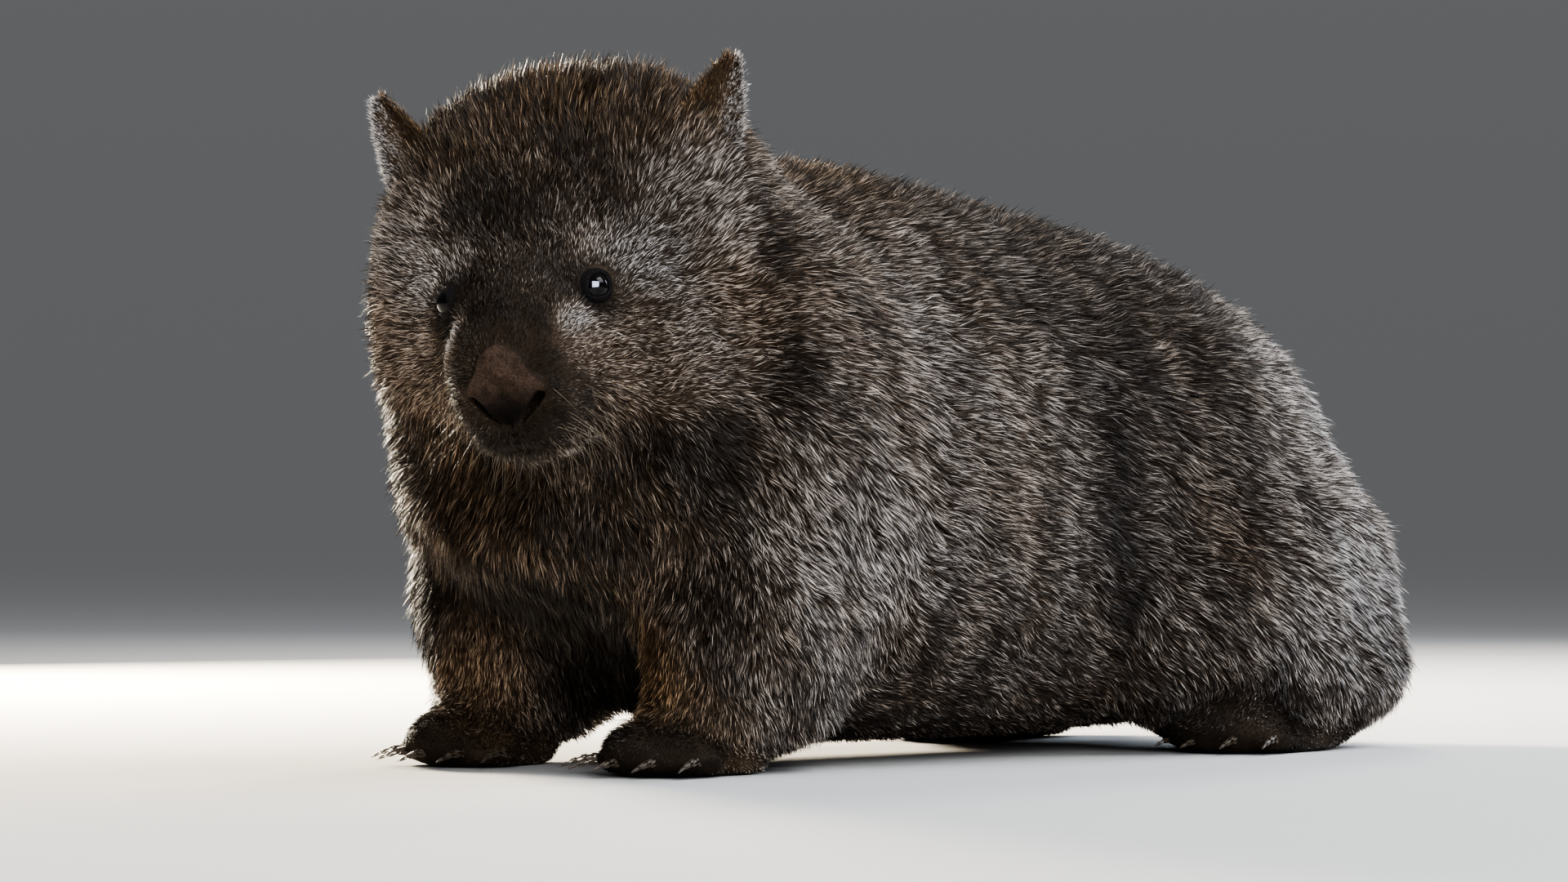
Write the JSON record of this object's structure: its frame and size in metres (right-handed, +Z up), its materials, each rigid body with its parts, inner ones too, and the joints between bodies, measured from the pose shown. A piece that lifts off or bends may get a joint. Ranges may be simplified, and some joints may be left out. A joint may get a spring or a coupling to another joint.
{
  "type": "standing common wombat",
  "caption": "Life-size still model of a common wombat standing low on its feet, head raised and turned to its left",
  "frame": {"origin": "on the floor under the middle of the animal's box", "axes": "-Y is the way the body faces, +X is the animal's left, +Z is up"},
  "size_m": [0.3352, 0.78, 0.3931],
  "materials": {
    "fur_brown": "coarse grizzled brown fur",
    "fur_grey": "coarse silver-grey fur over dark brown",
    "fur_dark": "short blackish fur of the feet",
    "skin_dark": "bare dark grained skin of the nose",
    "eye_black": "wet black eye",
    "claw_horn": "worn dark horn"
  },
  "bodies": {
    "root": {"barrel": "fur_grey", "rump": "fur_grey", "tail": "fur_grey", "shoulders": "fur_brown", "neck": "fur_brown", "head": "fur_brown", "jaw": "fur_brown", "nose": "skin_dark", "ear_left": "fur_brown", "ear_right": "fur_brown", "eye_left": "eye_black", "eye_right": "eye_black", "foreleg_left": "fur_brown", "forefoot_left": "fur_dark", "hindleg_left": "fur_grey", "hindfoot_left": "fur_dark", "foreleg_right": "fur_brown", "forefoot_right": "fur_dark", "hindleg_right": "fur_grey", "hindfoot_right": "fur_dark", "claw_forefoot_left_1": "claw_horn", "claw_forefoot_left_2": "claw_horn", "claw_forefoot_left_3": "claw_horn", "claw_forefoot_left_4": "claw_horn", "claw_forefoot_left_5": "claw_horn", "claw_forefoot_right_1": "claw_horn", "claw_forefoot_right_2": "claw_horn", "claw_forefoot_right_3": "claw_horn", "claw_forefoot_right_4": "claw_horn", "claw_forefoot_right_5": "claw_horn", "claw_hindfoot_left_2": "claw_horn", "claw_hindfoot_left_3": "claw_horn", "claw_hindfoot_left_4": "claw_horn", "claw_hindfoot_left_5": "claw_horn", "claw_hindfoot_right_2": "claw_horn", "claw_hindfoot_right_3": "claw_horn", "claw_hindfoot_right_4": "claw_horn", "claw_hindfoot_right_5": "claw_horn"}
  },
  "joints": []
}
